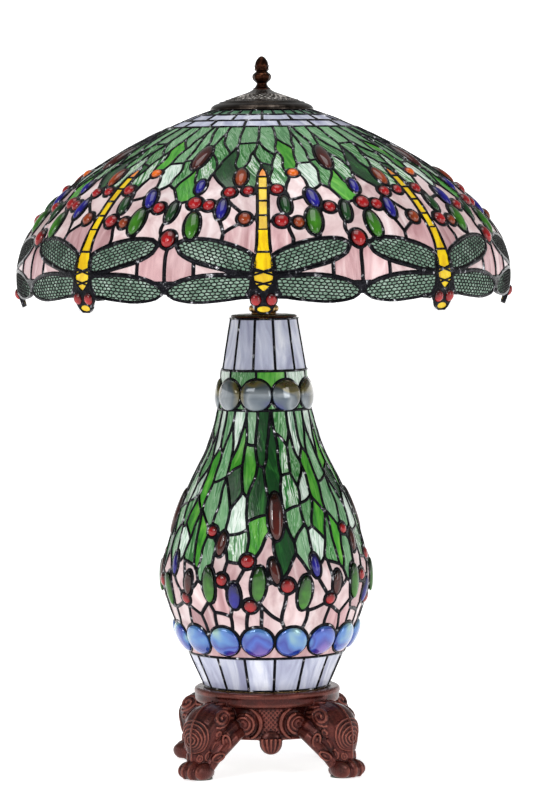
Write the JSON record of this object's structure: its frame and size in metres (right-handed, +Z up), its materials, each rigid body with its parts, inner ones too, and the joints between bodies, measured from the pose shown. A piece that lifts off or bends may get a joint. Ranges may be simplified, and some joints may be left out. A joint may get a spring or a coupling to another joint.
{
  "type": "stained glass table lamp",
  "caption": "Table lamp with a domed stained glass dragonfly shade, a lit stained glass vase body and a cast four-footed base.",
  "frame": {"origin": "on the lamp's vertical axis, in the plane that its feet stand on", "axes": "+Z up along the centre pipe, front of the lamp towards -Y, sockets along X"},
  "size_m": [0.5124, 0.5124, 0.736],
  "materials": {
    "antique_bronze": "antiqued and lacquered",
    "cap_pewter": "aged, semi-gloss",
    "finial_bronze": "dark, polished",
    "brass": "satin",
    "dark_brass": "aged",
    "zinc_plate": "zinc plated",
    "came": "black patina solder with a silvery sheen",
    "rubber": "matt",
    "felt": "soft pad",
    "porcelain": "glazed",
    "bulb_glass": "frosted",
    "lavender_glass": "opalescent, lavender and white",
    "crown_glass": "opalescent, grey green",
    "leaf_glass": "streaky green, rippled",
    "pink_glass": "opalescent, pink and white",
    "wing_glass": "grey green under filigree",
    "yellow_glass": "opalescent yellow",
    "amber_glass": "opalescent amber",
    "filigree": "black patina",
    "ruby_jewel": "polished",
    "green_jewel": "polished",
    "blue_jewel": "polished",
    "brown_jewel": "polished",
    "smoky_nugget": "iridescent, clear to smoky",
    "blue_nugget": "iridescent blue"
  },
  "bodies": {
    "stand": {"base_casting": "antique_bronze", "foot_pads": "felt", "base_plate": "zinc_plate", "cord_bushing": "rubber", "center_pipe": "brass", "pipe_nut": "brass", "lock_washer": "zinc_plate", "vase_bottom_ring": "dark_brass", "vase_foot_panels": "lavender_glass", "vase_field_glass": "pink_glass", "vase_leaf_glass": "leaf_glass", "vase_neck_panels": "lavender_glass", "vase_upper_nuggets": "smoky_nugget", "vase_lower_nuggets": "blue_nugget", "vase_jewels_red": "ruby_jewel", "vase_jewels_green": "green_jewel", "vase_jewels_blue": "blue_jewel", "vase_jewels_brown": "brown_jewel", "vase_came_rings": "came", "vase_came_bars": "came", "vase_top_cap": "dark_brass", "neck_knob": "dark_brass", "stem_tube": "dark_brass", "vase_socket_bracket": "zinc_plate", "vase_socket": "porcelain", "cluster_body": "dark_brass", "socket_left": "dark_brass", "socket_right": "dark_brass", "wheel_nut": "brass", "stud_coupling": "brass", "finial_stud": "brass"},
    "night_bulb": {"vase_bulb": "bulb_glass"},
    "left_bulb": {"bulb_left": "bulb_glass"},
    "right_bulb": {"bulb_right": "bulb_glass"},
    "left_chain": {"pull_chain_left": "brass"},
    "right_chain": {"pull_chain_right": "brass"},
    "wheel": {"shade_wheel": "brass"},
    "shade": {"shade_top_ring": "dark_brass", "shade_bricks": "lavender_glass", "shade_crown_glass": "crown_glass", "shade_leaf_glass": "leaf_glass", "shade_field_glass": "pink_glass", "dragonfly_wings": "wing_glass", "wing_filigree": "filigree", "dragonfly_bodies": "yellow_glass", "dragonfly_tail_tips": "amber_glass", "dragonfly_eyes": "ruby_jewel", "shade_jewels_red": "ruby_jewel", "shade_jewels_green": "green_jewel", "shade_jewels_blue": "blue_jewel", "shade_jewels_brown": "brown_jewel", "shade_came_rings": "came", "shade_came_bars": "came"},
    "cap": {"heat_cap": "cap_pewter"},
    "finial": {"finial": "finial_bronze"}
  },
  "joints": [
    {"name": "shade_turn", "type": "hinge", "parent": "stand", "child": "wheel", "pos_m": [0, 0, 0.672], "axis": [0, 0, 1], "continuous": true},
    {"name": "shade_lift", "type": "slide", "parent": "wheel", "child": "shade", "axis": [0, 0, 1], "range_m": [0, 0.26]},
    {"name": "cap_lift", "type": "slide", "parent": "shade", "child": "cap", "axis": [0, 0, 1], "range_m": [0, 0.05]},
    {"name": "finial_turn", "type": "hinge", "parent": "cap", "child": "finial", "pos_m": [0, 0, 0.71], "axis": [0, 0, 1], "continuous": true},
    {"name": "left_chain_pull", "type": "slide", "parent": "stand", "child": "left_chain", "axis": [0, 0, -1], "range_m": [0, 0.008], "stiffness_N_per_m": 150, "springref_m": -0.001},
    {"name": "right_chain_pull", "type": "slide", "parent": "stand", "child": "right_chain", "axis": [0, 0, -1], "range_m": [0, 0.008], "stiffness_N_per_m": 150, "springref_m": -0.001},
    {"name": "left_bulb_turn", "type": "hinge", "parent": "stand", "child": "left_bulb", "pos_m": [-0.08, 0, 0.565], "axis": [-1, 0, 0], "continuous": true},
    {"name": "right_bulb_turn", "type": "hinge", "parent": "stand", "child": "right_bulb", "pos_m": [0.08, 0, 0.565], "axis": [1, 0, 0], "continuous": true},
    {"name": "night_bulb_turn", "type": "hinge", "parent": "stand", "child": "night_bulb", "pos_m": [0.034, 0, 0.19], "axis": [0, 0, 1], "continuous": true}
  ]
}
